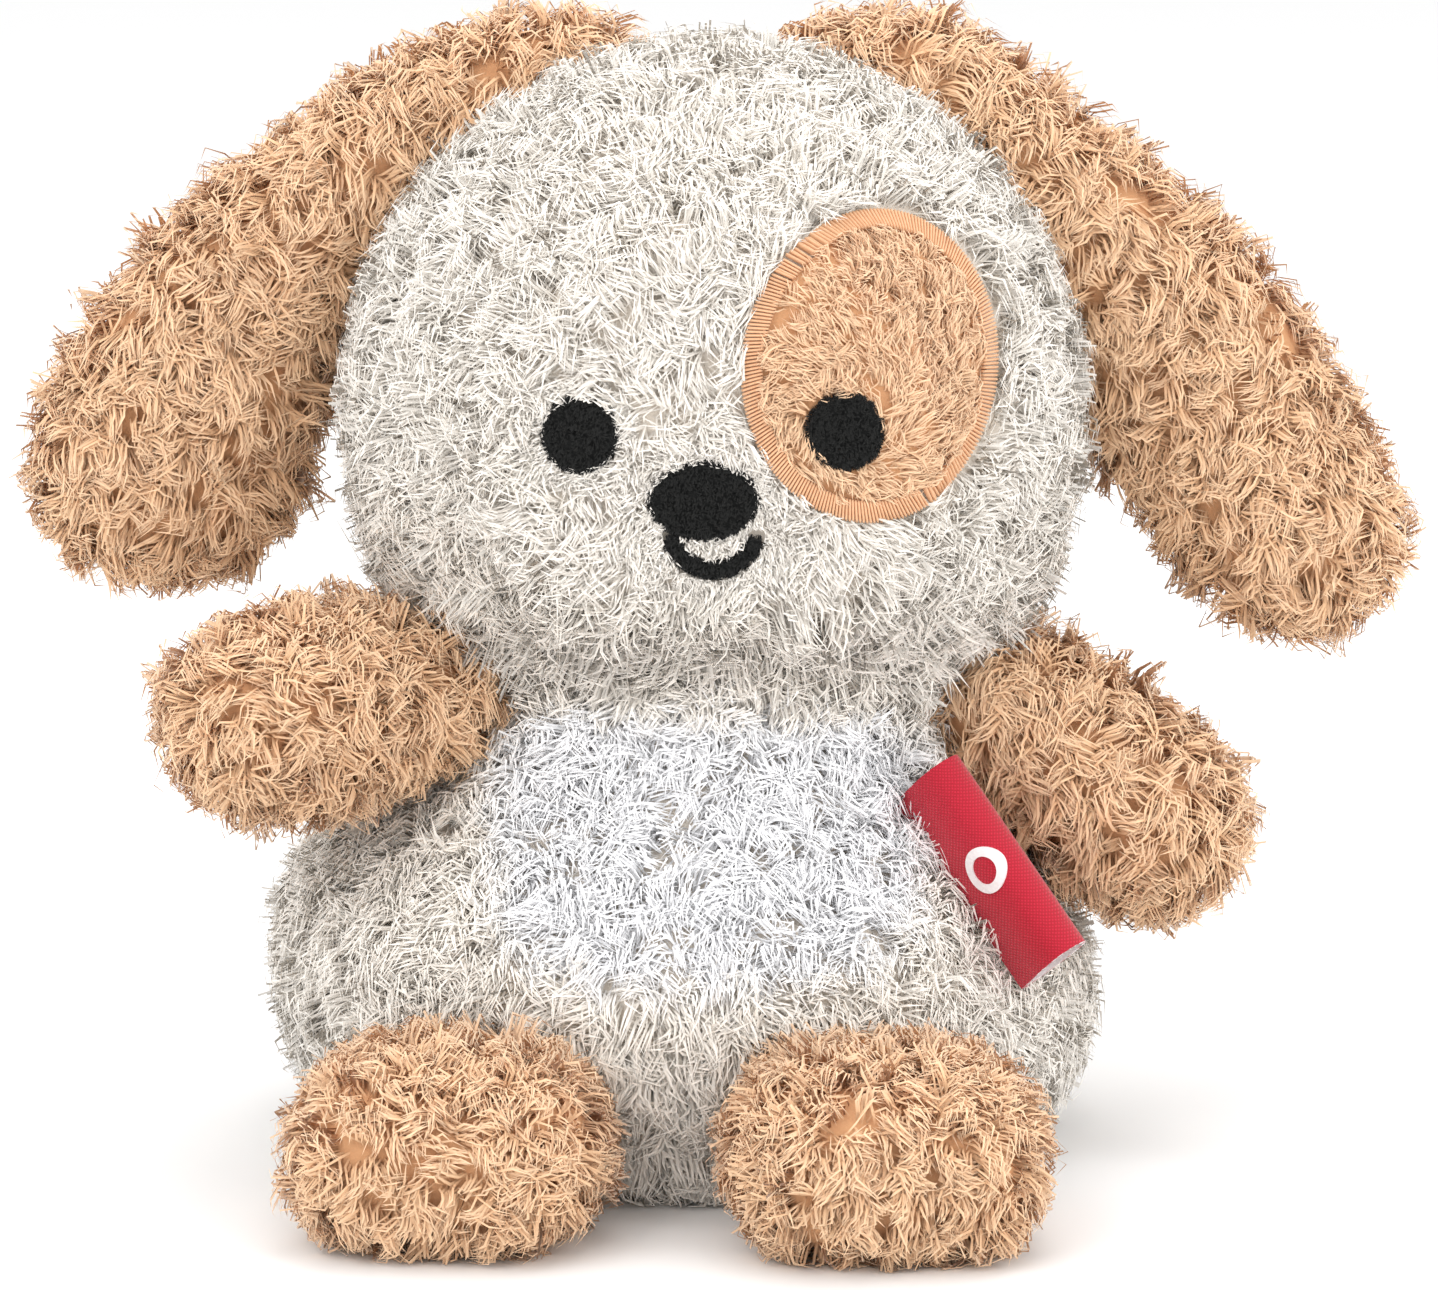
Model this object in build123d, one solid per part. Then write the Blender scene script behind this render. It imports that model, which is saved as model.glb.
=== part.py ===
"""Seated plush dog, in millimetres: +Z up, the dog faces -Y, its left side is +X.

The origin is the middle of the flat base panel, on the surface that the dog sits on.
Every soft part is a skin of plush fabric, sewn from panels, around its own fibre fill.
Sizes are those of the fabric with its pile pressed flat; loose pile stands a few millimetres proud.
Each limb has a rounded root that sits in a shallow socket, so it can swing without cutting its neighbour.
"""

from build123d import *
import math
import os

# driving sizes
fabric = 2.6  # plush fabric: knitted backing with its pile pressed flat
clearance = 0.4  # gap between parts that move on each other
nest_clearance = 1.4  # the limbs' roots have more room, as the fabric round them wrinkles

# torso
torso_width = 120.0
torso_height = 78.0  # base to neck
torso_lean = 5.0  # degrees, towards the dog's left
base_width = 86.0  # flat round that the dog sits on
side_seam_y = -31.0  # the front panel is sewn to the back panels here

# neck and head
neck_radius = 29.0
nod_limit = 6.0  # degrees, each way
head_width = 106.0
head_depth = 90.0
head_flat = 3.0  # radius of the small flats at the middle of the face and of the back of the head
head_centre_rise = 34.0  # the head's middle over the neck

# ears
ear_root_radius = 8.0
ear_thickness = 18.0
ear_wall_y = 10.4  # both ears hang in this plane, behind the widest part of the head
ear_lift_limit = 50.0

# arms
arm_root_radius = 11.5
arm_radius = 13.2
arm_length = 41.0
arm_left_drop = 36.0  # degrees below level
arm_right_drop = 2.0
arm_left_forward = 12.0  # degrees towards the front
arm_right_forward = 34.0

# feet
foot_root_radius = 11.0
foot_radius = 13.0
foot_width = 42.0
foot_length = 35.0
foot_spacing = 60.0
foot_toe_out = 6.0
foot_ground_gap = 0.5  # the feet lie just clear of the ground, and the base carries the dog

# tail
tail_root_radius = 6.8
tail_radius = 8.0
tail_length = 20.0
tail_height = 26.0
tail_rise = 14.0  # degrees above level

# face, placed from the middle of the head
patch_width = 32.4
patch_height = 38.6
patch_thickness = 1.2
border_width = 3.2
border_thickness = 2.2
eye_diameter = 10.6
nose_width = 15.6
nose_height = 10.8
mouth_radius = 6.4
mouth_sweep = 150.0  # degrees of arc
mouth_stroke = 1.7
stitch_thickness = 1.3  # depth of the filled embroidery
trim_gap = 0.05  # between the fabric and what is stitched on it

# label
label_width = 34.0  # along the seam
label_loop_radius = 3.6
label_reach = 13.0  # seam to fold
label_ribbon = 0.6
label_pinch = 0.9  # half the thickness of the ribbon's two ends in the seam
motif_radius = 3.6
motif_thickness = 0.3

# weight bag
pouch_radius = 30.0
pouch_height = 20.0
pouch_film = 0.6
pellet_diameter = 4.0
pellet_pitch = 6.2

# closing seam at the back
stitch_count = 9
stitch_length = 5.0
stitch_diameter = 0.9
stitch_pitch = 3.2

# places that follow from the sizes
neck = Vector(math.tan(math.radians(torso_lean)) * torso_height, 0, torso_height)
head_centre = neck + Vector(0, 0, head_centre_rise)
room = 400.0  # larger than the whole dog, for cutting blocks

# Each ear's middle line from its root: (out from the head's middle, above it, half width).
ear_left_line = [
    (17, 46.5, 8),
    (33, 46, 9.5),
    (49, 33.7, 10.5),
    (64, 15.5, 15.5),
    (79.0, -4.5, 16.5),
    (92.5, -24.0, 13.5),
]
ear_right_line = [
    (17, 46.5, 8),
    (32, 46.5, 9),
    (50, 37, 10),
    (66, 22, 13),
    (78, 3.5, 17.5),
    (86, -14, 17.5),
]


# shared forms
def above(z):
    """Everything over a level."""
    return Pos(0, 0, z + room / 2) * Box(room, room, room)


def below(z):
    return Pos(0, 0, z - room / 2) * Box(room, room, room)


def in_front_of(y):
    return Pos(0, y - room / 2, 0) * Box(room, room, room)


def behind(y):
    return Pos(0, y + room / 2, 0) * Box(room, room, room)


def left_of(x):
    """The dog's left, +X."""
    return Pos(x + room / 2, 0, 0) * Box(room, room, room)


def right_of(x):
    return Pos(x - room / 2, 0, 0) * Box(room, room, room)


def filled(edges):
    """The face inside an open outline that starts and ends on the axis."""
    outline = Curve() + edges + [Line(edges[-1] @ 1, edges[0] @ 0)]
    return make_face(outline)


def between(outer, inner):
    """The strip between two open outlines that both start and end on the axis."""
    first = Line(outer[-1] @ 1, inner[-1] @ 1)
    last = Line(inner[0] @ 0, outer[0] @ 0)
    outline = Curve() + outer + [first] + inner + [last]
    return make_face(outline)


def turned(face, sweep=360.0):
    """Turns a half section, drawn as (radius, height), about Z."""
    return revolve(Plane.XZ * face, Axis.Z, sweep)


def surface_hit(solid, start, way):
    """Where a ray from inside a solid leaves it, and the outward normal there."""
    ray = Axis(start, way)
    hits = solid.find_intersection_points(ray)
    ahead = [hit for hit in hits if (hit[0] - Vector(start)).dot(Vector(way)) > 0]
    point, normal = max(ahead, key=lambda hit: (hit[0] - Vector(start)).length)
    if normal.dot(Vector(way)) < 0:
        normal = normal * -1
    return point, normal.normalized()


def place(local_x, local_z, origin):
    """The location whose X and Z run the given ways from origin."""
    return Location(Plane(origin=origin, x_dir=local_x, z_dir=local_z))


def export(parts, name):
    """Writes one node. Several solids are kept as separate bodies of one compound."""
    if not isinstance(parts, list):
        parts = [parts]
    solids = [solid for part in parts for solid in part.solids()]
    whole = solids[0] if len(solids) == 1 else Compound(children=solids)
    whole.label = name
    export_step(whole, f"parts/{name}.step")


# torso
def torso_outline(inset=0.0):
    half = torso_width / 2 - inset
    foot = base_width / 2 - inset
    floor = inset - 6
    top = torso_height * 1.24 - inset
    side = Spline(
        (foot, floor),
        (half * 0.93, torso_height * 0.13),
        (half, torso_height * 0.31),
        (half * 0.95, torso_height * 0.46),
        (half * 0.8, torso_height * 0.6),
        (half * 0.66, torso_height * 0.74),
        (half * 0.58, torso_height * 0.9),
        (0, top),
        tangents=[(1, 0.4), (-1, 0)],
    )
    return [Line((0, floor), (foot, floor)), side]


def torso_form(inset=0.0):
    """Pear-shaped body, leaning a little. inset draws the surface inwards."""
    return Rot(0, torso_lean, 0) * Rot(0, 0, 37) * turned(filled(torso_outline(inset))) - below(0)


# head
def head_outline(grow=0.0):
    """Half section of the head as (radius, distance forward). grow moves the surface outwards."""
    half, front, back = head_width / 2 + grow, head_depth * 0.52 + grow, head_depth * 0.48 + grow
    side = Spline(
        (head_flat, -back),
        (half * 0.64, -back * 0.8),
        (half * 0.93, -back * 0.42),
        (half, 0),
        (half * 0.94, front * 0.4),
        (half * 0.66, front * 0.8),
        (head_flat, front),
        tangents=[(1, 0), (-1, 0)],
    )
    return [Line((0, -back), (head_flat, -back)), side, Line((head_flat, front), (0, front))]


def to_head(shape):
    """Lays a form turned about Z down so that its axis runs forward through the head's middle."""
    return Location(head_centre) * Rot(90, 0, 0) * Rot(0, 0, 37) * shape


def head_form(grow=0.0):
    """Round head, a little flatter from front to back."""
    return to_head(turned(filled(head_outline(grow))))


def under_the_head():
    """The space that the head leaves free: a cup for the neck, and a notch over the shoulders to nod in."""
    cup = neck_radius + clearance
    slope = math.radians(nod_limit + 5)
    reach = head_width
    arc = CenterArc((0, 0), cup, 90, -(90 - nod_limit - 5))
    notch = Polyline(arc @ 1, (reach, reach * math.tan(slope)), (reach, -reach), (0, -reach), (0, cup))
    return Location(neck) * Rot(0, 0, 61) * turned(make_face(Curve() + [arc, notch]))


def neck_ball():
    return Location(neck) * Rot(0, 0, 23) * Sphere(neck_radius)


def on_face(outline, x, z, low, high):
    """A patch that follows the face: an outline pushed through the layer between two heights over it."""
    start = Plane(origin=head_centre, x_dir=(1, 0, 0), z_dir=(0, -1, 0))
    prism = extrude(start * Pos(x, z) * outline, head_depth)
    layer = to_head(turned(between(head_outline(high), head_outline(low))))
    return prism & layer


# limbs
def limb_outline(root, body, length, inset=0.0):
    """A stuffed stub along its axis: a ball at the pivot, swelling to the body, with a round end."""
    root, body = root - inset, body - inset
    reach = length - inset
    ball = CenterArc((0, 0), root, -90, 90)
    side = Spline(
        (root, 0),
        (body, length * 0.52),
        (body * 0.72, reach - body * 0.3),
        (0, reach),
        tangents=[(0, 1), (-1, 0)],
    )
    return [ball, side]


class Limb:
    """A stuffed limb: its place, the axis that it swings about and its nest in the torso.

    spare is half of the straight part that widens it along the swing axis, so the root still turns in its nest.
    """

    def __init__(self, name, pivot, direction, swing_axis, root, body, length, spare=0.0):
        self.name = name
        self.pivot = pivot
        self.at = place(swing_axis, direction, pivot)
        self.sizes = (root, body, length)
        self.spare = spare

    def half(self, face, upper):
        """Turns a half section through 180 degrees, on one side of the plane through limb and swing axis."""
        if not self.spare:
            return self.at * Rot(0, 0, 0 if upper else 180) * turned(face, 180)
        first = Pos(self.spare, 0, 0) * turned(face, 90)
        last = Pos(-self.spare, 0, 0) * Rot(0, 0, 90) * turned(face, 90)
        middle = extrude(Plane.YZ.offset(-self.spare) * face, 2 * self.spare)
        return self.at * Rot(0, 0, 0 if upper else 180) * (first + middle + last)

    def half_skin(self, upper):
        strip = between(limb_outline(*self.sizes), limb_outline(*self.sizes, inset=fabric))
        return self.half(strip, upper)

    def fill(self):
        face = filled(limb_outline(*self.sizes, inset=fabric))
        if not self.spare:
            return self.at * turned(face)
        first = Pos(self.spare, 0, 0) * Rot(0, 0, -90) * turned(face, 180)
        last = Pos(-self.spare, 0, 0) * Rot(0, 0, 90) * turned(face, 180)
        both = [Plane.YZ.offset(-self.spare) * side for side in (face, mirror(face, Plane.YZ))]
        middle = [extrude(side, 2 * self.spare) for side in both]
        return self.at * (middle[0] + middle[1] + first + last)

    def nest(self):
        """Room in the torso for the root."""
        ball = Sphere(self.sizes[0] + nest_clearance)
        if not self.spare:
            return self.at * ball
        bar = Rot(0, 90, 0) * Cylinder(self.sizes[0] + nest_clearance, 2 * self.spare)
        return self.at * (Pos(self.spare, 0, 0) * ball + Pos(-self.spare, 0, 0) * ball + bar)


def root_offset(radius, share):
    """How far a root's middle stands out of the torso: at least enough to stay clear of the torso's fill."""
    return max(radius * share, radius - fabric + 2 * clearance)


def arm(side, drop, forward, height, y, torso):
    """side is +1 for the dog's left and -1 for its right."""
    lower, ahead = math.radians(drop), math.radians(forward)
    level = math.cos(lower)
    way = Vector(side * level * math.cos(ahead), -level * math.sin(ahead), -math.sin(lower))
    point, normal = surface_hit(torso, (neck.X / 2, y, height), (side, 0, 0))
    pivot = point + normal * root_offset(arm_root_radius, 0.8)
    swing = Vector(0, 1, 0) - way * way.Y
    name = "arm_left" if side > 0 else "arm_right"
    return Limb(name, pivot, way, swing, arm_root_radius, arm_radius, arm_length)


def foot(side, torso):
    toe = math.radians(foot_toe_out)
    way = Vector(side * math.sin(toe), -math.cos(toe), 0)
    across = Vector(math.cos(toe), side * math.sin(toe), 0)
    height = foot_radius + foot_ground_gap
    point, normal = surface_hit(torso, (side * foot_spacing / 2, 0, height), (0, -1, 0))
    pivot = point + Vector(0, -root_offset(foot_root_radius, 0.85), 0)
    name = "foot_left" if side > 0 else "foot_right"
    spare = foot_width / 2 - foot_radius
    return Limb(name, pivot, way, across, foot_root_radius, foot_radius, foot_length, spare)


def tail(torso):
    rise = math.radians(tail_rise)
    way = Vector(0, math.cos(rise), math.sin(rise))
    point, normal = surface_hit(torso, (0, 0, tail_height), (0, 1, 0))
    pivot = point + Vector(0, root_offset(tail_root_radius, 0.6), 0)
    upright = Vector(0, -math.sin(rise), math.cos(rise))
    return Limb("tail", pivot, way, upright, tail_root_radius, tail_radius, tail_length)


# ears
def ear_form(side, line, inset=0.0):
    """A long lobe that hangs in one plane: ovals along a bent line, with a round root and tip."""
    points = [head_centre + Vector(side * out, ear_wall_y, up) for out, up, half in line]
    last = len(points) - 1
    ovals = []
    for i, point in enumerate(points):
        way = (points[min(i + 1, last)] - points[max(i - 1, 0)]).normalized()
        thick = ear_thickness / 2 * (0.86, 0.94, 1, 1, 1, 0.9)[i]
        across = Plane(origin=point, x_dir=(0, 1, 0), z_dir=way)
        ovals.append(across * Ellipse(thick - inset, line[i][2] - inset))
    first_way = (points[1] - points[0]).normalized()
    last_way = (points[last] - points[last - 1]).normalized()
    root = points[0] - first_way * (ear_root_radius * 0.9 - inset)
    tip = points[last] + last_way * (line[last][2] * 0.75 - inset)
    return loft([Vertex(*root)] + ovals + [Vertex(*tip)])


def ear_pivot(side, line):
    return head_centre + Vector(side * line[0][0], ear_wall_y, line[0][1])


# label
def label_place(torso):
    """On the left side seam, with X along the seam and Z out of the body."""
    height = torso_height * 0.53
    point, normal = surface_hit(torso, (neck.X / 2, side_seam_y, height), (1, 0, 0))
    down = Vector(0.1, 0, -1)
    along = (down - normal * down.dot(normal)).normalized()
    return place(along, normal, point + normal * (clearance + 1.6))


def label_outline(grow=0.0):
    """The folded ribbon seen end on: two layers that leave the seam and open into a round fold."""
    r = label_loop_radius + grow
    top = label_reach - label_loop_radius
    pinch = label_pinch + grow
    right = Spline((pinch, -grow), (r * 0.7, top * 0.45), (r, top), tangents=[(0.4, 1), (0, 1)])
    left = Spline((-r, top), (-r * 0.7, top * 0.45), (-pinch, -grow), tangents=[(0, -1), (0.4, -1)])
    fold = CenterArc((0, top), r, 0, 180)
    return make_face(Curve() + [right, fold, left, Line((-pinch, -grow), (pinch, -grow))])


def label_prism(grow=0.0):
    across = Plane(origin=(-label_width / 2, 0, 0), x_dir=(0, 1, 0), z_dir=(1, 0, 0))
    return extrude(across * label_outline(grow), label_width)


def label_motif_form():
    """A plain woven ring on the side of the fold that looks forwards."""
    ring = Circle(motif_radius) - Circle(motif_radius * 0.6)
    top = label_reach - label_loop_radius
    side = Plane(origin=(0, 0, top - 1), x_dir=(1, 0, 0), z_dir=(0, -1, 0))
    prism = extrude(side * ring, label_loop_radius * 2)
    return (prism & label_prism(motif_thickness)) - label_prism()


# weight bag
def pouch_form(inset=0.0):
    radius, half = pouch_radius - inset, pouch_height / 2 - inset
    side = ThreePointArc((radius - half, half), (radius - half * 0.293, half * 0.707), (radius, 0))
    lower = ThreePointArc((radius, 0), (radius - half * 0.293, -half * 0.707), (radius - half, -half))
    flat = turned(filled([Line((0, half), (radius - half, half)), side, lower, Line((radius - half, -half), (0, -half))]))
    return Pos(0, 0, fabric + pouch_height / 2 + 3.0) * flat


def pellets():
    """Round weighting pellets, laid in layers inside the pouch."""
    middle = fabric + pouch_height / 2 + 3.0
    edge = pouch_film + pellet_diameter / 2 + 0.3
    half = pouch_height / 2
    steps = int(pouch_radius / pellet_pitch)
    found = []
    for level in (-1, 0, 1):
        z = level * pellet_pitch * 0.8
        swell = math.sqrt(max(0.0, (half - edge) ** 2 - z**2))
        reach = pouch_radius - half + swell
        shift = pellet_pitch / 2 * (level % 2)
        for i in range(-steps, steps + 1):
            for j in range(-steps, steps + 1):
                x, y = i * pellet_pitch + shift, j * pellet_pitch + shift
                if math.hypot(x, y) <= reach and abs(z) <= half - edge:
                    found.append(Pos(x, y, middle + z) * Sphere(pellet_diameter / 2))
    return found


# closing seam
def closing_stitches(torso):
    """Ladder stitches across the centre-back seam, lying on the fabric above the tail."""
    found = []
    for i in range(stitch_count):
        z = torso_height * 0.48 + i * stitch_pitch
        point, normal = surface_hit(torso, (0, 0, z), (0, 1, 0))
        middle = point + normal * (stitch_diameter / 2 + 0.25)
        bar = Rot(0, 90, 0) * Cylinder(stitch_diameter / 2, stitch_length)
        found.append(Location(middle) * bar)
    return found


# build
def build_torso(outer, inner, limbs):
    """The body's skin in three panels and a base, its fill with the neck, and the weight bag."""
    under_neck = below(neck.Z - clearance)
    nests = [limb.nest() for limb in limbs]
    skin = ((outer - inner) & under_neck & above(fabric)) - nests
    export(skin & in_front_of(side_seam_y), "torso_front_panel")
    back = skin & behind(side_seam_y)
    export(back & left_of(0), "torso_back_left_panel")
    export(back & right_of(0), "torso_back_right_panel")
    export(outer & below(fabric), "torso_base_panel")
    fill = (inner & under_neck & above(fabric)) + neck_ball()
    export(fill - nests - pouch_form(), "torso_fill")
    export(pouch_form() - pouch_form(pouch_film), "pellet_pouch")
    export(pellets(), "pellets")
    export(closing_stitches(outer), "closing_stitches")


def build_head(ears):
    """The head's skin in a face panel and two back panels, and its fill."""
    outer, inner = head_form(), head_form(-fabric)
    spaces = [under_the_head()]
    for side, line in ears.values():
        spaces.append(ear_form(side, line, -clearance))
        spaces.append(Location(ear_pivot(side, line)) * Sphere(ear_root_radius + nest_clearance))
    skin = outer - inner
    fill = inner
    for space in spaces:
        skin = skin - space
        fill = fill - space
    export(skin & in_front_of(0), "head_face_panel")
    back = skin & behind(0)
    export(back & left_of(head_centre.X), "head_back_left_panel")
    export(back & right_of(head_centre.X), "head_back_right_panel")
    export(fill, "head_fill")


def build_face():
    """Embroidered features, and the eye patch with its satin-stitched border."""
    patch = Ellipse(patch_width / 2, patch_height / 2)
    border = Ellipse(patch_width / 2 + border_width, patch_height / 2 + border_width) - patch
    eye = Circle(eye_diameter / 2)
    export(on_face(patch, 23.3, 12, trim_gap, patch_thickness), "eye_patch")
    export(on_face(border, 23.3, 12, trim_gap, border_thickness), "eye_patch_border")
    on_patch = patch_thickness + trim_gap
    export(on_face(eye, 19.2, 3.2, on_patch, on_patch + stitch_thickness), "eye_left")
    export(on_face(eye, -19.5, 2.6, trim_gap, stitch_thickness), "eye_right")
    nose = Ellipse(nose_width / 2, nose_height / 2)
    export(on_face(nose, -1.4, -7.2, trim_gap, stitch_thickness), "nose")
    arc = CenterArc((0, 0), mouth_radius, -90 - mouth_sweep / 2, mouth_sweep)
    export(on_face(trace(arc, mouth_stroke), 0, -11.2, trim_gap, stitch_thickness), "mouth")


def build():
    os.makedirs("parts", exist_ok=True)
    outer, inner = torso_form(), torso_form(fabric)
    arms = [
        arm(+1, arm_left_drop, arm_left_forward, torso_height * 0.86, -4.0, outer),
        arm(-1, arm_right_drop, arm_right_forward, torso_height * 0.85, -13.0, outer),
    ]
    feet = [foot(+1, outer), foot(-1, outer)]
    stub = tail(outer)
    ears = {"ear_left": (+1, ear_left_line), "ear_right": (-1, ear_right_line)}

    build_torso(outer, inner, arms + feet + [stub])
    build_head(ears)
    build_face()

    for limb, upper in zip(arms, (True, False)):
        export(limb.half_skin(upper), f"{limb.name}_upper_panel")
        export(limb.half_skin(not upper), f"{limb.name}_under_panel")
        export(limb.fill(), f"{limb.name}_fill")
    for limb in feet:
        export(limb.half_skin(True), f"{limb.name}_top_panel")
        export(limb.half_skin(False), f"{limb.name}_sole_panel")
        export(limb.fill(), f"{limb.name}_fill")
    export(stub.half_skin(True), "tail_left_panel")
    export(stub.half_skin(False), "tail_right_panel")
    export(stub.fill(), "tail_fill")

    for name, (side, line) in ears.items():
        lobe, fill = ear_form(side, line), ear_form(side, line, fabric)
        skin = lobe - fill
        export(skin & in_front_of(ear_wall_y), f"{name}_front_panel")
        export(skin & behind(ear_wall_y), f"{name}_back_panel")
        export(fill, f"{name}_fill")

    at = label_place(outer)
    export(at * (label_prism() - label_prism(-label_ribbon)), "label_ribbon")
    export(at * label_motif_form(), "label_motif")


build()
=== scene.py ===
import math

import bpy
import numpy as np
from mathutils import Matrix, Vector
from mathutils.bvhtree import BVHTree


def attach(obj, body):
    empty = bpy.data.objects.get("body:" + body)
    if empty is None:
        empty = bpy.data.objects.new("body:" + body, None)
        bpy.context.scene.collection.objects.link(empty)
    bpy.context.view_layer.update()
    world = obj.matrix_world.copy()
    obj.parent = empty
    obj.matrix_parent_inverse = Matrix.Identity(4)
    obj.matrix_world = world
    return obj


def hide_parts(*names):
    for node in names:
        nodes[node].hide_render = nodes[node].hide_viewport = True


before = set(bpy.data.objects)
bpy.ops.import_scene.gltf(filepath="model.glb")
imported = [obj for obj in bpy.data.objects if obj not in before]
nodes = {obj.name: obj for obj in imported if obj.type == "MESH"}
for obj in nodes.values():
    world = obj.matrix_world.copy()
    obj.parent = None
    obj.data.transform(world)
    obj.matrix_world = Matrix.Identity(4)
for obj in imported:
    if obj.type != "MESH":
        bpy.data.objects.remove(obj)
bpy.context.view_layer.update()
mm = 0.001


def srgb(r, g, b):
    parts = []
    for value in (r, g, b):
        value = value / 255
        parts.append(value / 12.92 if value <= 0.04045 else ((value + 0.055) / 1.055) ** 2.4)
    return (parts[0], parts[1], parts[2], 1.0)


def deselectAll():
    if bpy.context.object and bpy.context.object.mode != "OBJECT":
        bpy.ops.object.mode_set(mode="OBJECT")
    bpy.ops.object.select_all(action="DESELECT")


def applyAll(piece):
    deselectAll()
    piece.select_set(True)
    bpy.context.view_layer.objects.active = piece
    for modifier in list(piece.modifiers):
        bpy.ops.object.modifier_apply(modifier=modifier.name)


def joined(parts, name):
    deselectAll()
    for part in parts:
        part.select_set(True)
    bpy.context.view_layer.objects.active = parts[0]
    if len(parts) > 1:
        bpy.ops.object.join()
    piece = bpy.context.object
    piece.name = name
    piece.data.name = name
    return piece


def newMaterial(name, roughness, sheen=0.0):
    material = bpy.data.materials.new(name)
    material.use_nodes = True
    shader = material.node_tree.nodes["Principled BSDF"]
    shader.inputs["Roughness"].default_value = roughness
    shader.inputs["Specular IOR Level"].default_value = 0.25
    shader.inputs["Sheen Weight"].default_value = sheen
    shader.inputs["Sheen Roughness"].default_value = 0.5
    return material, shader


# Colour of one strand: root to tip along u, darker at the root as painted shade in the gaps between strands,
# and a little different from strand to strand along v.
# v over 0.72 runs from the plain pile to the whiter one.
def pileToneGroup():
    group = bpy.data.node_groups.new("PileTone", "ShaderNodeTree")
    for socket in ("Root", "Middle", "Tip", "Zone"):
        group.interface.new_socket(socket, in_out="INPUT", socket_type="NodeSocketColor")
    group.interface.new_socket("Color", in_out="OUTPUT", socket_type="NodeSocketColor")
    tree = group.nodes
    link = group.links.new
    source = tree.new("NodeGroupInput")
    target = tree.new("NodeGroupOutput")
    uv = tree.new("ShaderNodeUVMap")
    uv.uv_map = "OFBake"
    split = tree.new("ShaderNodeSeparateXYZ")
    link(uv.outputs["UV"], split.inputs["Vector"])
    low = tree.new("ShaderNodeMapRange")
    low.inputs["From Min"].default_value = 0.0
    low.inputs["From Max"].default_value = 0.45
    link(split.outputs["X"], low.inputs["Value"])
    high = tree.new("ShaderNodeMapRange")
    high.inputs["From Min"].default_value = 0.4
    high.inputs["From Max"].default_value = 0.95
    link(split.outputs["X"], high.inputs["Value"])
    # root to middle, then middle to tip: the darker root is painted shade between the strands
    first = tree.new("ShaderNodeMix")
    first.data_type = "RGBA"
    link(low.outputs["Result"], first.inputs["Factor"])
    link(source.outputs["Root"], first.inputs["A"])
    link(source.outputs["Middle"], first.inputs["B"])
    second = tree.new("ShaderNodeMix")
    second.data_type = "RGBA"
    link(high.outputs["Result"], second.inputs["Factor"])
    link(first.outputs["Result"], second.inputs["A"])
    link(source.outputs["Tip"], second.inputs["B"])
    spread = tree.new("ShaderNodeMapRange")
    spread.inputs["From Min"].default_value = 0.0
    spread.inputs["From Max"].default_value = 0.7
    spread.inputs["To Min"].default_value = 0.9
    spread.inputs["To Max"].default_value = 1.08
    link(split.outputs["Y"], spread.inputs["Value"])
    vary = tree.new("ShaderNodeVectorMath")
    vary.operation = "SCALE"
    link(second.outputs["Result"], vary.inputs["Vector"])
    link(spread.outputs["Result"], vary.inputs["Scale"])
    zone = tree.new("ShaderNodeMapRange")
    zone.inputs["From Min"].default_value = 0.72
    zone.inputs["From Max"].default_value = 1.0
    link(split.outputs["Y"], zone.inputs["Value"])
    last = tree.new("ShaderNodeMix")
    last.data_type = "RGBA"
    link(zone.outputs["Result"], last.inputs["Factor"])
    link(vary.outputs["Vector"], last.inputs["A"])
    link(source.outputs["Zone"], last.inputs["B"])
    link(last.outputs["Result"], target.inputs["Color"])
    return group


pileTone = pileToneGroup()


def pileMaterial(name, root, middle, tip, zone, sheen):
    material, shader = newMaterial(name, 0.75, sheen)
    tone = material.node_tree.nodes.new("ShaderNodeGroup")
    tone.node_tree = pileTone
    tone.inputs["Root"].default_value = srgb(*root)
    tone.inputs["Middle"].default_value = srgb(*middle)
    tone.inputs["Tip"].default_value = srgb(*tip)
    tone.inputs["Zone"].default_value = srgb(*zone)
    material.node_tree.links.new(tone.outputs["Color"], shader.inputs["Base Color"])
    return material


# Two tones and a bump, both from one grey output.
def addGrain(tree, shader, grey, dark, light, strength, depth):
    mix = tree.nodes.new("ShaderNodeMix")
    mix.data_type = "RGBA"
    mix.inputs["A"].default_value = srgb(*dark)
    mix.inputs["B"].default_value = srgb(*light)
    tree.links.new(grey, mix.inputs["Factor"])
    tree.links.new(mix.outputs["Result"], shader.inputs["Base Color"])
    bump = tree.nodes.new("ShaderNodeBump")
    bump.inputs["Strength"].default_value = strength
    bump.inputs["Distance"].default_value = depth
    tree.links.new(grey, bump.inputs["Height"])
    tree.links.new(bump.outputs["Normal"], shader.inputs["Normal"])


# Cloth, thread, fibre or plastic with a fine irregular grain.
def clothMaterial(name, colour, dark, grain, strength, roughness=0.9):
    material, shader = newMaterial(name, roughness, 0.1)
    tree = material.node_tree
    place = tree.nodes.new("ShaderNodeTexCoord")
    noise = tree.nodes.new("ShaderNodeTexNoise")
    noise.inputs["Scale"].default_value = grain
    noise.inputs["Detail"].default_value = 3.0
    tree.links.new(place.outputs["Object"], noise.inputs["Vector"])
    addGrain(tree, shader, noise.outputs["Fac"], dark, colour, strength, 0.4 * mm)
    return material


# each pile's root colour is darker than its middle and tip: painted shade in the gaps between strands
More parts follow.
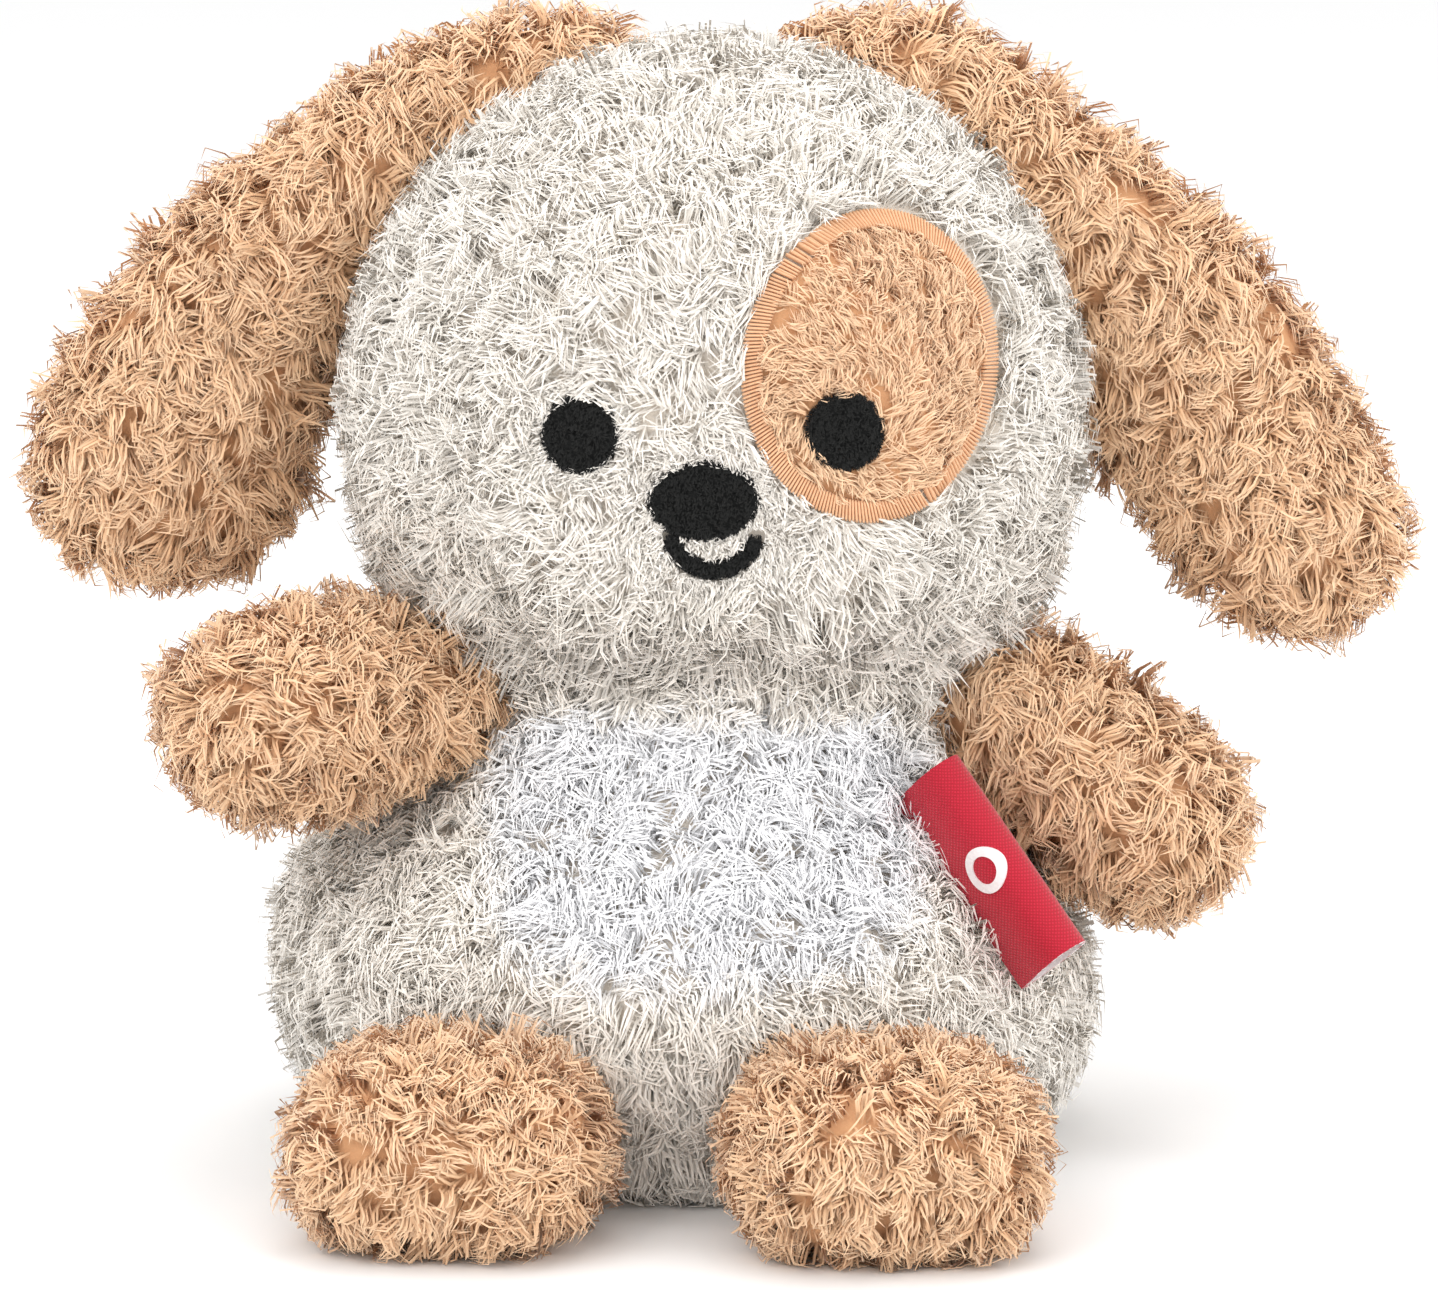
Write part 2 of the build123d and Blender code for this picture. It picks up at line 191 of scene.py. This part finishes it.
tanPile = pileMaterial("tan_pile", (216, 164, 120), (236, 192, 150), (250, 216, 180), (250, 216, 180), 0.25)
creamPile = pileMaterial(
    "cream_pile", (242, 233, 221), (247, 240, 230), (250, 245, 238), (252, 252, 254), 0.3
)
patchPile = pileMaterial(
    "patch_pile", (222, 172, 130), (236, 194, 154), (248, 212, 176), (248, 212, 176), 0.25
)
blackPile = pileMaterial("black_pile", (10, 11, 10), (20, 21, 20), (40, 40, 39), (40, 40, 39), 0.1)
# backing cloth under the pile, in the pile's darker root tones: painted shade deep in the gaps between
# strands
tanBacking = clothMaterial("tan_backing", (222, 172, 128), (206, 154, 112), 900, 0.4)
creamBacking = clothMaterial("cream_backing", (238, 229, 217), (226, 214, 200), 900, 0.4)
fibre = clothMaterial("fibre_fill", (244, 243, 240), (228, 226, 222), 400, 0.6)
pouchCloth = clothMaterial("pouch_cloth", (238, 236, 230), (222, 220, 214), 1500, 0.3)
pellet = clothMaterial("pellet_plastic", (232, 230, 222), (220, 218, 210), 200, 0.1, 0.45)
blackThread = clothMaterial("black_thread", (24, 25, 24), (8, 9, 9), 2600, 0.9, 0.8)
peachThread = clothMaterial("peach_thread", (240, 196, 156), (220, 170, 130), 1200, 0.3, 0.45)
creamThread = clothMaterial("cream_thread", (232, 224, 212), (214, 204, 190), 1500, 0.3, 0.6)
whiteThread = clothMaterial("white_thread", (246, 240, 240), (230, 220, 222), 1800, 0.4, 0.6)


# Woven ribbon: fine ribs across and along, in its own object space.
def ribbonMaterial():
    material, shader = newMaterial("red_ribbon", 0.55, 0.3)
    tree = material.node_tree
    place = tree.nodes.new("ShaderNodeTexCoord")
    waves = []
    for direction in ("Z", "X"):
        wave = tree.nodes.new("ShaderNodeTexWave")
        wave.bands_direction = direction
        wave.inputs["Scale"].default_value = 700
        wave.inputs["Distortion"].default_value = 1.5
        wave.inputs["Detail"].default_value = 1.0
        tree.links.new(place.outputs["Object"], wave.inputs["Vector"])
        waves.append(wave)
    weave = tree.nodes.new("ShaderNodeMath")
    weave.operation = "MULTIPLY"
    tree.links.new(waves[0].outputs["Fac"], weave.inputs[0])
    tree.links.new(waves[1].outputs["Fac"], weave.inputs[1])
    addGrain(tree, shader, weave.outputs["Value"], (168, 6, 34), (206, 26, 58), 0.35, 0.2 * mm)
    return material


redRibbon = ribbonMaterial()
print("stage: materials")


# A free copy of a CAD piece, to build a skin from.
def copied(node):
    copy = nodes[node].copy()
    copy.data = nodes[node].data.copy()
    copy.parent = None
    copy.matrix_world = Matrix.Identity(4)
    for key in list(copy.keys()):
        del copy[key]
    bpy.context.scene.collection.objects.link(copy)
    return copy


# Each skin is the shape of its panels and fill, remeshed and softened.
def makeSkin(name, parts, hidden, values, material, extra=()):
    skin = joined(list(extra) + [copied(node) for node in parts], name)
    skin.data.materials.clear()
    remesh = skin.modifiers.new("Remesh", "REMESH")
    remesh.mode = "VOXEL"
    remesh.voxel_size = values["voxel"]
    smooth = skin.modifiers.new("Smooth", "SMOOTH")
    smooth.factor = 0.5
    smooth.iterations = values["smooth"]
    applyAll(skin)
    bpy.ops.object.shade_smooth()
    skin.data.materials.append(material)
    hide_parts(*hidden)
    return skin


pileSeed = {"value": 11}

# how much strands differ within a lock, and locks from each other
strayValues = {
    "spot": 0.6, "lie": 0.12, "length": 0.12, "lockLean": 0.22, "lean": 0.12, "phase": 0.35, "turns": 0.2,
    "roll": 0.5,
}
lengthLimits = (0.45, 1.7)
leanLimits = (0.15, 1.45)
rootDepth = 0.4 * mm
floorGap = 0.35 * mm
# along v of the map, plain strands end at the first value, and the whiter ones start at the second
plainEnd = 0.7
whiterStart = 0.72


def unit(array):
    return array / np.maximum(np.linalg.norm(array, axis=-1, keepdims=True), 1e-12)


# The three corners of each of a skin's triangles, and the triangles' areas.
def skinTriangles(skin):
    mesh = skin.data
    mesh.calc_loop_triangles()
    points = np.empty(len(mesh.vertices) * 3)
    mesh.vertices.foreach_get("co", points)
    points = points.reshape(-1, 3)
    triangles = np.empty(len(mesh.loop_triangles) * 3, np.int32)
    mesh.loop_triangles.foreach_get("vertices", triangles)
    triangles = triangles.reshape(-1, 3)
    a, b, c = points[triangles[:, 0]], points[triangles[:, 1]], points[triangles[:, 2]]
    return a, b, c, np.linalg.norm(np.cross(b - a, c - a), axis=1) / 2


def samplePoints(a, b, c, area, count, rng):
    pick = rng.choice(len(area), count, p=area / area.sum())
    u, v = rng.random(count), rng.random(count)
    over = u + v > 1
    u[over], v[over] = 1 - u[over], 1 - v[over]
    return a[pick] + (b - a)[pick] * u[:, None] + (c - a)[pick] * v[:, None]


# Strands in locks over a skin: their points, surface normals, roots, widths and places on the colour map.
def growPile(skin, values, flow=None, region=None, trim=None, zone=None, shorter=None):
    pileSeed["value"] += 1
    rng = np.random.default_rng(pileSeed["value"])
    tree = BVHTree.FromObject(skin, bpy.context.evaluated_depsgraph_get())
    a, b, c, area = skinTriangles(skin)
    perLock = values["perLock"]
    lockCount = int(area.sum() / mm**2 * values["density"] / perLock)
    centres = samplePoints(a, b, c, area, lockCount, rng)
    if region is not None:
        centres = centres[region(centres)]
        lockCount = len(centres)
    lockOf = np.repeat(np.arange(lockCount), perLock)
    count = len(lockOf)
    spots = centres[lockOf] + rng.normal(0, values["lockRadius"] * strayValues["spot"], (count, 3)) * mm
    roots = np.empty((count, 3))
    normals = np.empty((count, 3))
    nearest = tree.find_nearest
    for i, spot in enumerate(spots.tolist()):
        roots[i], normals[i] = nearest(spot)[:2]
    if region is not None:
        inside = region(roots)
        roots, normals, lockOf = roots[inside], normals[inside], lockOf[inside]
        count = len(roots)
    # the lie of each lock
    lockLie = rng.normal(0, 1, (lockCount, 3)) * values["mess"]
    lie = lockLie[lockOf] + (np.array([0, 0, -1.0]) if flow is None else flow(roots))
    lie += rng.normal(0, strayValues["lie"], (count, 3))
    lie = unit(lie - normals * np.sum(lie * normals, axis=1, keepdims=True))
    across = np.cross(normals, lie)
    uneven = (1 + rng.normal(0, values["uneven"], lockCount))[lockOf]
    uneven = uneven + rng.normal(0, strayValues["length"], count)
    length = values["length"] * mm * np.clip(uneven, *lengthLimits)
    if shorter is not None:
        length = length * shorter(roots)
    lean = np.radians(values["lean"]) + rng.normal(0, strayValues["lockLean"], lockCount)[lockOf]
    lean = np.clip(lean + rng.normal(0, strayValues["lean"], count), *leanLimits)
    phase = (rng.random(lockCount) * 2 * np.pi)[lockOf] + rng.normal(0, strayValues["phase"], count)
    turns = values["turns"] * (1 + rng.normal(0, strayValues["turns"], lockCount))[lockOf]
    curl = values["curl"] * mm * (0.6 + 0.8 * rng.random(lockCount))[lockOf]
    fromCentre = roots - centres[lockOf]
    steps = values["steps"]
    path = np.empty((steps + 1, count, 3))
    for j in range(steps + 1):
        s = j / steps
        rise = length * np.cos(lean) * math.sin(math.pi * s * (0.5 + 0.25 * values["hook"]))
        run = length * np.sin(lean) * s**1.25
        swing = 2 * np.pi * turns * s + phase
        point = roots + normals * rise[:, None] + lie * run[:, None]
        point += across * (curl * s * np.cos(swing))[:, None]
        point += (normals * 0.55 + lie * 0.4) * (curl * s * np.sin(swing))[:, None]
        point -= fromCentre * (values["gather"] * s**1.1)
        path[j] = point
    path[0] -= normals * rootDepth
    path[:, :, 2] = np.maximum(path[:, :, 2], floorGap)
    keep = np.ones(count, bool)
    if trim is not None:
        finer = [path]
        for share in (0.25, 0.5, 0.75):
            finer.append(path[:-1] * (1 - share) + path[1:] * share)
        keep = trim(np.concatenate(finer))
    colour = rng.random(count) * plainEnd
    if zone is not None:
        share = zone(roots)
        whiter = rng.random(count) * 0.15 + share > 0.15
        colour = np.where(whiter, whiterStart + (1 - whiterStart) * np.clip(share, 0, 1), colour)
    roll = rng.normal(0, strayValues["roll"], count)
    return {
        "path": path[:, keep], "normals": normals[keep], "colour": colour[keep], "roots": roots[keep],
        "width": values["width"] * mm * (0.75 + 0.5 * rng.random(count))[keep], "roll": roll[keep],
        "skinShare": values["skinShare"],
    }


# width of a strand from root to tip, as shares of its full width
taper = [0.8, 1.0, 1.0, 0.9, 0.72, 0.5]


# The chosen strands as one mesh of narrow tapering strips.
def pilePiece(name, strands, choose, material, body):
    use = choose(strands["roots"]) if choose is not None else np.ones(len(strands["roots"]), bool)
    path = strands["path"][:, use]
    normals = strands["normals"][use]
    width = strands["width"][use]
    roll = strands["roll"][use]
    colour = strands["colour"][use]
    steps = path.shape[0] - 1
    count = path.shape[1]
    perStrand = 2 * steps + 1
    points = np.empty((count, perStrand, 3), np.float32)
    shading = np.empty((count, perStrand, 3), np.float32)
    places = np.empty((count, perStrand, 2), np.float32)
    level = 0.01 + 0.98 * colour
    for j in range(steps + 1):
        ahead = unit(path[min(j + 1, steps)] - path[max(j - 1, 0)])
        side = unit(np.cross(ahead, normals))
        facing = np.cross(side, ahead)
        side = side * np.cos(roll)[:, None] + facing * np.sin(roll)[:, None]
        facing = unit(np.cross(side, ahead))
        facing = np.where(np.sum(facing * normals, axis=1, keepdims=True) < 0, -facing, facing)
        soft = unit(normals * strands["skinShare"] + facing * (1 - strands["skinShare"]))
        # the tip is one point, and every other step is a pair
        edges = (-1, 1) if j < steps else (0,)
        half = (width * taper[int(round(j * (len(taper) - 1) / steps))] / 2)[:, None]
        for k, edge in enumerate(edges, 2 * j):
            points[:, k] = path[j] + side * half * edge
            shading[:, k] = soft
            places[:, k, 0] = 0.02 + 0.96 * j / steps
            places[:, k, 1] = level + 0.002 * edge
    corners = []
    sizes = []
    for j in range(steps - 1):
        corners += [2 * j, 2 * j + 1, 2 * j + 3, 2 * j + 2]
        sizes.append(4)
    corners += [2 * steps - 2, 2 * steps - 1, 2 * steps]
    sizes.append(3)
    corners = np.array(corners, np.int32)
    loopVertices = (corners[None, :] + (np.arange(count, dtype=np.int32) * perStrand)[:, None]).ravel()
    loopSizes = np.tile(np.array(sizes, np.int32), count)
    loopStarts = np.concatenate([[0], np.cumsum(loopSizes)[:-1]]).astype(np.int32)
    mesh = bpy.data.meshes.new(name)
    mesh.vertices.add(count * perStrand)
    mesh.vertices.foreach_set("co", points.ravel())
    mesh.loops.add(len(loopVertices))
    mesh.loops.foreach_set("vertex_index", loopVertices)
    mesh.polygons.add(len(loopSizes))
    mesh.polygons.foreach_set("loop_start", loopStarts)
    mesh.update(calc_edges=True)
    layer = mesh.uv_layers.new(name="OFBake")
    layer.data.foreach_set("uv", places.reshape(-1, 2)[loopVertices].ravel())
    mesh.polygons.foreach_set("use_smooth", np.ones(len(loopSizes), bool))
    mesh.normals_split_custom_set_from_vertices(shading.reshape(-1, 3))
    mesh.materials.append(material)
    piece = bpy.data.objects.new(name, mesh)
    bpy.context.scene.collection.objects.link(piece)
    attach(piece, body)
    print("pile:", name, "strands", count, "triangles", count * (2 * steps - 1))
    return piece


skinValues = {"voxel": 0.0022, "smooth": 6}
limbValues = {"voxel": 0.0016, "smooth": 6}
tanValues = {
    "density": 3.4, "perLock": 15, "lockRadius": 1.5, "length": 6.2, "uneven": 0.14, "lean": 60, "mess": 0.9,
    "curl": 1.2, "turns": 0.8, "gather": 0.62, "width": 0.36, "steps": 3, "skinShare": 0.85, "hook": 0.9,
}
footValues = dict(tanValues, length=5.2)
creamValues = {
    "density": 4.2, "perLock": 14, "lockRadius": 1.9, "length": 6.0, "uneven": 0.12, "lean": 58, "mess": 0.8,
    "curl": 0.9, "turns": 0.6, "gather": 0.4, "width": 0.34, "steps": 2, "skinShare": 0.92, "hook": 0.7,
}
muzzleValues = {
    "density": 11, "perLock": 6, "lockRadius": 0.8, "length": 2.0, "uneven": 0.1, "lean": 35, "mess": 0.8,
    "curl": 0.2, "turns": 0.5, "gather": 0.2, "width": 0.22, "steps": 2, "skinShare": 0.95, "hook": 0.2,
}
blackValues = {
    "density": 26, "perLock": 5, "lockRadius": 0.4, "length": 0.8, "uneven": 0.15, "lean": 42, "mess": 0.9,
    "curl": 0.15, "turns": 0.5, "gather": 0.3, "width": 0.2, "steps": 2, "skinShare": 0.7, "hook": 0.2,
}
patchValues = {
    "density": 10, "perLock": 14, "lockRadius": 1.1, "length": 4.2, "uneven": 0.15, "lean": 58, "mess": 0.5,
    "curl": 0.6, "turns": 0.6, "gather": 0.55, "width": 0.26, "steps": 3, "skinShare": 0.8, "hook": 0.6,
}

# torso
torsoPanels = ["torso_front_panel", "torso_back_left_panel", "torso_back_right_panel", "torso_base_panel"]
torsoSkin = makeSkin("torso_skin", torsoPanels + ["torso_fill"], torsoPanels, skinValues, creamBacking)
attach(torsoSkin, "torso")


torsoValues = {
    "sideSeam": -31, "bareBase": 2.5,
    "chestX": 6, "chestZ": 53, "chestHalfX": 31, "chestHalfZ": 19, "chestEdge": 1.12, "chestFade": 0.25,
}


# whiter pile over the chest: a rounded square with soft edges
def chestZone(points):
    x = (points[:, 0] / mm - torsoValues["chestX"]) / torsoValues["chestHalfX"]
    z = (points[:, 2] / mm - torsoValues["chestZ"]) / torsoValues["chestHalfZ"]
    far = np.maximum(np.abs(x) ** 4 + np.abs(z) ** 4, 1e-6) ** 0.25
    share = (torsoValues["chestEdge"] - far) / torsoValues["chestFade"]
    return np.clip(share, 0, 1) * (points[:, 1] < 0)


def overBase(points):
    return points[:, 2] > torsoValues["bareBase"] * mm


sideSeam = torsoValues["sideSeam"] * mm
torsoPiles = {
    "torso_front_pile": lambda p: p[:, 1] < sideSeam,
    "torso_back_left_pile": lambda p: (p[:, 1] >= sideSeam) & (p[:, 0] >= 0),
    "torso_back_right_pile": lambda p: (p[:, 1] >= sideSeam) & (p[:, 0] < 0),
}
torsoStrands = growPile(torsoSkin, creamValues, region=overBase, zone=chestZone)
for name, choose in torsoPiles.items():
    pilePiece(name, torsoStrands, choose, creamPile, "torso")
print("stage: torso")

# head: the cheeks run down into the neck, over the notch that the head nods in
cheekValues = {"middle": (6.8, 0, 91.0), "half": (47.5, 41.0, 20.0)}
deselectAll()
bpy.ops.mesh.primitive_uv_sphere_add(
    segments=48, ring_count=24, radius=mm,
    location=[v * mm for v in cheekValues["middle"]], scale=cheekValues["half"],
)
bpy.ops.object.transform_apply(location=True, rotation=True, scale=True)
cheeks = bpy.context.object
headPanels = ["head_face_panel", "head_back_left_panel", "head_back_right_panel"]
headSkin = makeSkin("head_skin", headPanels + ["head_fill"], headPanels, skinValues, creamBacking, [cheeks])
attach(headSkin, "head")
headMiddle = np.array([6.824, 0, 112.0]) * mm
# what lies further forward than this is on the face
faceFront = -5 * mm

# what is stitched on the face: middle and half sizes, seen from the front
faceMarks = {
    "patch": (23.3, 12.0, 16.2, 19.3),
    "ring": (23.3, 12.0, 19.4, 22.5),
    "eyeLeft": (19.2, 3.2, 5.3, 5.3),
    "eyeRight": (-19.5, 2.6, 5.3, 5.3),
    "nose": (-1.4, -7.2, 7.8, 5.4),
    "mouth": (0.0, -14.8, 7.6, 4.0),
}


def insideMark(points, mark, grow=0.0):
    x, z, halfX, halfZ = faceMarks[mark]
    u = (points[..., 0] - headMiddle[0] - x * mm) / ((halfX + grow) * mm)
    v = (points[..., 2] - headMiddle[2] - z * mm) / ((halfZ + grow) * mm)
    return (u**2 + v**2 < 1) & (points[..., 1] < faceFront)


# the mouth's line is the lower part of a circle
mouthValues = {"z": -11.2, "radius": 6.4, "half": 1.0, "top": -0.5}


def nearMouth(points):
    x = (points[..., 0] - headMiddle[0]) / mm
    z = (points[..., 2] - headMiddle[2]) / mm - mouthValues["z"]
    distance = np.abs(np.hypot(x, z) - mouthValues["radius"])
    return (distance < mouthValues["half"]) & (z < mouthValues["top"]) & (points[..., 1] < faceFront)


def clearOfMarks(path):
    bad = np.zeros(path.shape[1], bool)
    for mark in ("eyeLeft", "eyeRight", "nose"):
        bad |= insideMark(path, mark, -0.3).any(axis=0)
    bad |= nearMouth(path).any(axis=0)
    bad |= insideMark(path, "ring", -0.9).any(axis=0)
    return ~bad


# the pile lies away from the middle of the face
def headLie(points):
    away = points - (headMiddle + np.array([0, 0, -4]) * mm)
    away[:, 1] *= 0.2
    return unit(away) * 0.9 + np.array([0, 0, -0.5])


# the pile is clipped short round the eyes, nose and mouth, and is full length from "reach" on
clipValues = {"shortest": 0.42, "reach": 7, "neckTop": 96, "neckDepth": 14, "neckMore": 0.6}
farAway = 1e3


def markDistance(points):
    nearest = np.full(len(points), farAway)
    for mark in ("eyeLeft", "eyeRight", "nose", "mouth"):
        x, z, halfX, halfZ = faceMarks[mark]
        u = (points[:, 0] - headMiddle[0]) / mm - x
        v = (points[:, 2] - headMiddle[2]) / mm - z
        nearest = np.minimum(nearest, (np.hypot(u / halfX, v / halfZ) - 1) * min(halfX, halfZ))
    return np.where(points[:, 1] < faceFront, nearest, farAway)


def shortByMarks(points):
    below = (clipValues["neckTop"] - points[:, 2] / mm) / clipValues["neckDepth"]
    overNeck = np.clip(below, 0, 1) * clipValues["neckMore"]
    shortest = clipValues["shortest"]
    share = shortest + (1 - shortest) * markDistance(points) / clipValues["reach"]
    return np.clip(share, shortest, 1) + overNeck


headPiles = {
    "head_face_left_pile": lambda p: (p[:, 1] < 0) & (p[:, 0] >= headMiddle[0]),
    "head_face_right_pile": lambda p: (p[:, 1] < 0) & (p[:, 0] < headMiddle[0]),
    "head_back_left_pile": lambda p: (p[:, 1] >= 0) & (p[:, 0] >= headMiddle[0]),
    "head_back_right_pile": lambda p: (p[:, 1] >= 0) & (p[:, 0] < headMiddle[0]),
}
headStrands = growPile(headSkin, creamValues, flow=headLie, trim=clearOfMarks, shorter=shortByMarks)
for name, choose in headPiles.items():
    pilePiece(name, headStrands, choose, creamPile, "head")


# short dense pile close to the nose, the mouth and the plain eye
def onMuzzle(points):
    x = (points[:, 0] - headMiddle[0]) / mm
    return (markDistance(points) < muzzleReach) & ~insideMark(points, "ring", 0.5) & (x < muzzleSide)


muzzleReach = 3.5
muzzleSide = 14
muzzleStrands = growPile(headSkin, muzzleValues, flow=headLie, region=onMuzzle, trim=clearOfMarks)
pilePiece("muzzle_pile", muzzleStrands, None, creamPile, "head")

# the eyes, nose and mouth have a close black pile of their own
for mark in ("eye_left", "eye_right", "nose", "mouth"):
    strands = growPile(nodes[mark], blackValues, region=lambda p: p[:, 1] < 0)
    pilePiece(mark + "_pile", strands, None, blackPile, "head")


# eye patch: shorter pile that swirls round the eye
def onPatch(points):
    return insideMark(points, "patch", 0.2)


def clearOfEye(path):
    outside = ~insideMark(path, "patch", 1.2)
    return ~(insideMark(path, "eyeLeft", -0.7).any(axis=0) | outside.any(axis=0))


def patchLie(points):
    x, z = faceMarks["eyeLeft"][:2]
    away = points - (headMiddle + np.array([x, 0, z]) * mm)
    away[:, 1] = 0
    swirl = np.stack([-away[:, 2], np.zeros(len(away)), away[:, 0]], axis=1)
    return unit(away) * 0.6 + unit(swirl) * 0.7


patchStrands = growPile(headSkin, patchValues, flow=patchLie, region=onPatch, trim=clearOfEye)
pilePiece("eye_patch_pile", patchStrands, None, patchPile, "head")
print("stage: head")

# limbs, ears and tail
limbParts = {
    "ear_left": ("front_panel", "back_panel"),
    "ear_right": ("front_panel", "back_panel"),
    "arm_left": ("upper_panel", "under_panel"),
    "arm_right": ("upper_panel", "under_panel"),
    "foot_left": ("top_panel", "sole_panel"),
    "foot_right": ("top_panel", "sole_panel"),
    "tail": ("left_panel", "right_panel"),
}
for limb, (first, second) in limbParts.items():
    panels = [limb + "_" + first, limb + "_" + second]
    skin = makeSkin(limb + "_skin", panels + [limb + "_fill"], panels, limbValues, tanBacking)
    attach(skin, limb)
    strands = growPile(skin, footValues if limb.startswith("foot") else tanValues)
    pilePiece(limb + "_pile", strands, None, tanPile, limb)
    print("stage:", limb)

borderValues = {
    "threads": 236, "length": 3.3, "width": 0.5, "thick": 1.3, "height": 1.9, "slant": 0.22, "outset": 1.5,
    "rounding": 0.12, "tries": 3,
}
# straight in front of the face, clear of everything
inFront = -0.2


# Satin stitches side by side round the patch, each laid on the skin below it.
def stitchBorder():
    headTree = BVHTree.FromObject(headSkin, bpy.context.evaluated_depsgraph_get())
    deselectAll()
    bpy.ops.mesh.primitive_cylinder_add(vertices=6, radius=0.5, depth=1.0)
    thread = bpy.context.object
    bpy.ops.object.mode_set(mode="EDIT")
    bpy.ops.mesh.select_all(action="SELECT")
    bpy.ops.mesh.bevel(offset=borderValues["rounding"], segments=1)
    bpy.ops.object.mode_set(mode="OBJECT")
    x, z, halfX, halfZ = faceMarks["patch"]
    copies = []
    for i in range(borderValues["threads"]):
        angle = 2 * math.pi * i / borderValues["threads"]
        outward = Vector((math.cos(angle) / halfX, 0, math.sin(angle) / halfZ)).normalized()
        middle = Vector((
            headMiddle[0] + (x + halfX * math.cos(angle)) * mm, 0,
            headMiddle[2] + (z + halfZ * math.sin(angle)) * mm,
        )) + outward * borderValues["outset"] * mm
        start = middle.copy()
        for step in range(borderValues["tries"]):
            eye = Vector((start.x, inFront, start.z))
            hit, normal = headTree.ray_cast(eye, Vector((0, 1, 0)))[:2]
            centre = hit + normal * borderValues["height"] * mm
            start += Vector((middle.x - centre.x, 0, middle.z - centre.z))
        along = (outward - normal * outward.dot(normal)).normalized()
        along = (along + normal.cross(along) * borderValues["slant"]).normalized()
        side = normal.cross(along)
        turn = Matrix((side, normal, along)).transposed().to_4x4()
        place = Matrix.Translation(centre) @ turn
        sizes = [borderValues[key] * mm for key in ("width", "thick", "length")]
        size = Matrix.Diagonal((*sizes, 1))
        copy = thread.copy()
        copy.data = thread.data.copy()
        bpy.context.scene.collection.objects.link(copy)
        copy.data.transform(place @ size)
        copies.append(copy)
    bpy.data.objects.remove(thread)
    return joined(copies, "eye_patch_border_stitches")


border = stitchBorder()
deselectAll()
border.select_set(True)
bpy.ops.object.shade_smooth()
border.data.materials.clear()
border.data.materials.append(peachThread)
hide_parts("eye_patch_border")
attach(border, "head")
print("stage: border")

# the pellets and the limbs' fills, with fewer faces
lighterValues = {"pellets": 0.22, "fill": 0.25, "weld": 0.01}


def lighter(node, ratio, material, body):
    piece = joined([copied(node)], node + "_light")
    weld = piece.modifiers.new("Weld", "WELD")
    weld.merge_threshold = lighterValues["weld"] * mm
    thin = piece.modifiers.new("Decimate", "DECIMATE")
    thin.ratio = ratio
    applyAll(piece)
    piece.data.materials.clear()
    piece.data.materials.append(material)
    bpy.ops.object.shade_smooth()
    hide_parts(node)
    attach(piece, body)
    print("lighter:", node, "faces", len(piece.data.polygons))


lighter("pellets", lighterValues["pellets"], pellet, "torso")
for limb in ("ear_left", "ear_right", "arm_left", "arm_right", "foot_left", "foot_right"):
    lighter(limb + "_fill", lighterValues["fill"], fibre, limb)

# folded label: red outside, undyed inside the fold and along the cut ends
labelRibbon = joined([copied("label_ribbon")], "label_ribbon_woven")
labelRibbon.data.materials.clear()
labelRibbon.data.materials.append(redRibbon)
labelRibbon.data.materials.append(whiteThread)
# along the fold of the label
labelAxis = Vector((0.553966, -0.313047, -0.771442)).normalized()
corners = [v.co for v in labelRibbon.data.vertices]
labelMiddle = sum(corners, Vector()) / len(corners)
for face in labelRibbon.data.polygons:
    away = face.center - labelMiddle
    away -= labelAxis * away.dot(labelAxis)
    face.material_index = 1 if face.normal.dot(away) < 0 else 0
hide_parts("label_ribbon")
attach(labelRibbon, "label")
print("stage: label")

# the CAD pieces that stay as they are; the rest of those still shown are fibre fills
carriedMaterials = {
    "eye_left": blackThread, "eye_right": blackThread, "nose": blackThread, "mouth": blackThread,
    "eye_patch": tanBacking, "label_motif": whiteThread, "closing_stitches": creamThread,
    "pellet_pouch": pouchCloth,
}
for name, node in nodes.items():
    if not node.hide_render:
        node.data.materials.clear()
        node.data.materials.append(carriedMaterials.get(name, fibre))
print("stage: carried parts")

cameraValues = {
    "target": (7.65, 0, 75.0), "distance": 1200, "elevation": 10.0,
    "lens": 196.0, "sensor": 36, "clipEnd": 20,
}
rise = math.radians(cameraValues["elevation"])
target = Vector(cameraValues["target"]) * mm
lens = bpy.data.cameras.new("camera")
lens.lens = cameraValues["lens"]
lens.sensor_width = cameraValues["sensor"]
lens.clip_end = cameraValues["clipEnd"]
camera = bpy.data.objects.new("camera", lens)
bpy.context.scene.collection.objects.link(camera)
camera.location = target + Vector((0, -math.cos(rise), math.sin(rise))) * cameraValues["distance"] * mm
camera.rotation_euler = (target - camera.location).to_track_quat("-Z", "Y").to_euler()
bpy.context.scene.camera = camera

deselectAll()
bpy.ops.mesh.primitive_plane_add(size=8)
floor = bpy.context.object
floor.name = "floor"
floorMaterial, floorShader = newMaterial("floor", 0.9)
floorShader.inputs["Base Color"].default_value = (0.93, 0.93, 0.93, 1)
floor.data.materials.append(floorMaterial)

world = bpy.data.worlds.new("studio")
bpy.context.scene.world = world
world.use_nodes = True
world.node_tree.nodes["Background"].inputs["Color"].default_value = (1, 1, 1, 1)
world.node_tree.nodes["Background"].inputs["Strength"].default_value = 1.0

softboxes = {
    "key": ((-0.7, -0.9, 1.0), 0.9, 7.0),
    "fill": ((0.9, -0.8, 0.6), 0.9, 4.5),
    "top": ((0.1, 0.2, 1.3), 1.0, 5.0),
}
aim = Vector((0, 0, 80.0)) * mm
for name, (place, size, power) in softboxes.items():
    light = bpy.data.lights.new(name, "AREA")
    light.shape = "SQUARE"
    light.size = size
    light.energy = power
    lamp = bpy.data.objects.new(name, light)
    bpy.context.scene.collection.objects.link(lamp)
    lamp.location = place
    lamp.rotation_euler = (aim - lamp.location).to_track_quat("-Z", "Y").to_euler()
bpy.context.scene.view_settings.view_transform = "Standard"
print("stage: camera and light")
